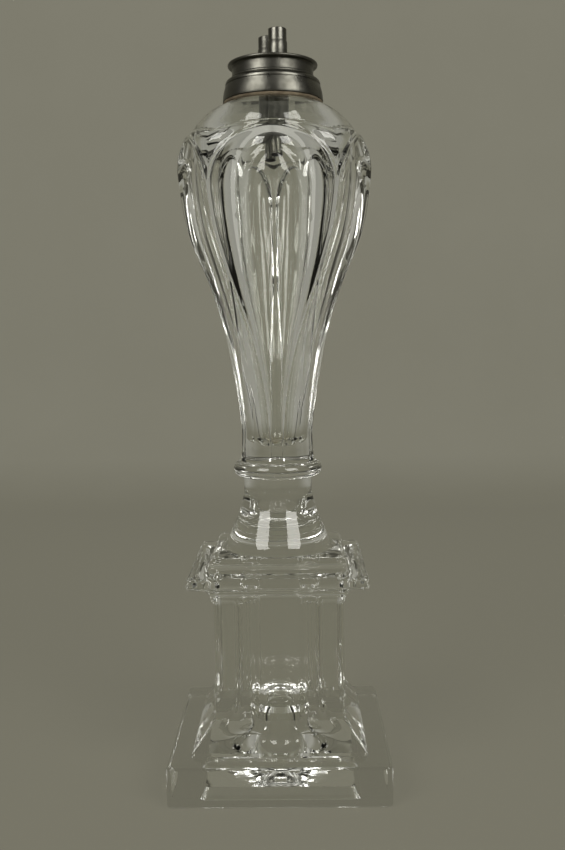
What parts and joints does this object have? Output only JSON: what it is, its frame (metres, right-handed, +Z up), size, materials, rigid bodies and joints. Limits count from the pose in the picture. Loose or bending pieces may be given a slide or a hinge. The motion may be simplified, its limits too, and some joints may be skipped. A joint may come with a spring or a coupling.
{
  "type": "camphene lamp",
  "caption": "Tall pressed glass table lamp: square hollow base, looped glass reservoir, pewter collar and a lift-out burner with upright wick tubes.",
  "frame": {"origin": "middle of the square footprint, on the face that the lamp stands on", "axes": "+Z up along the middle line of the lamp, -Y out of the front face"},
  "size_m": [0.082, 0.082, 0.282],
  "materials": {
    "clear_glass": "clear, fire polished, faint grey-green",
    "pewter": "dull dark grey pewter with turned marks",
    "dark_pewter": "stained dark grey pewter",
    "plaster": "matt plaster, brown with age",
    "cotton_wick": "woven cotton"
  },
  "bodies": {
    "lamp": {"base": "clear_glass", "wafer": "clear_glass", "font": "clear_glass", "collar": "pewter", "collar_cement": "plaster"},
    "burner": {"burner_cap": "pewter", "burner_sleeve": "dark_pewter", "burner_plate": "dark_pewter", "wick_tube_front": "pewter", "wick_tube_rear": "pewter"},
    "front_wick": {"wick_front": "cotton_wick"},
    "rear_wick": {"wick_rear": "cotton_wick"}
  },
  "joints": [
    {"name": "burner_lift", "type": "slide", "parent": "lamp", "child": "burner", "axis": [0, 0, 1], "range_m": [0, 0.045]},
    {"name": "front_wick_slide", "type": "slide", "parent": "burner", "child": "front_wick", "axis": [0, 0, 1], "range_m": [-0.002, 0.008]},
    {"name": "rear_wick_slide", "type": "slide", "parent": "burner", "child": "rear_wick", "axis": [0, 0, 1], "range_m": [-0.002, 0.008]}
  ]
}
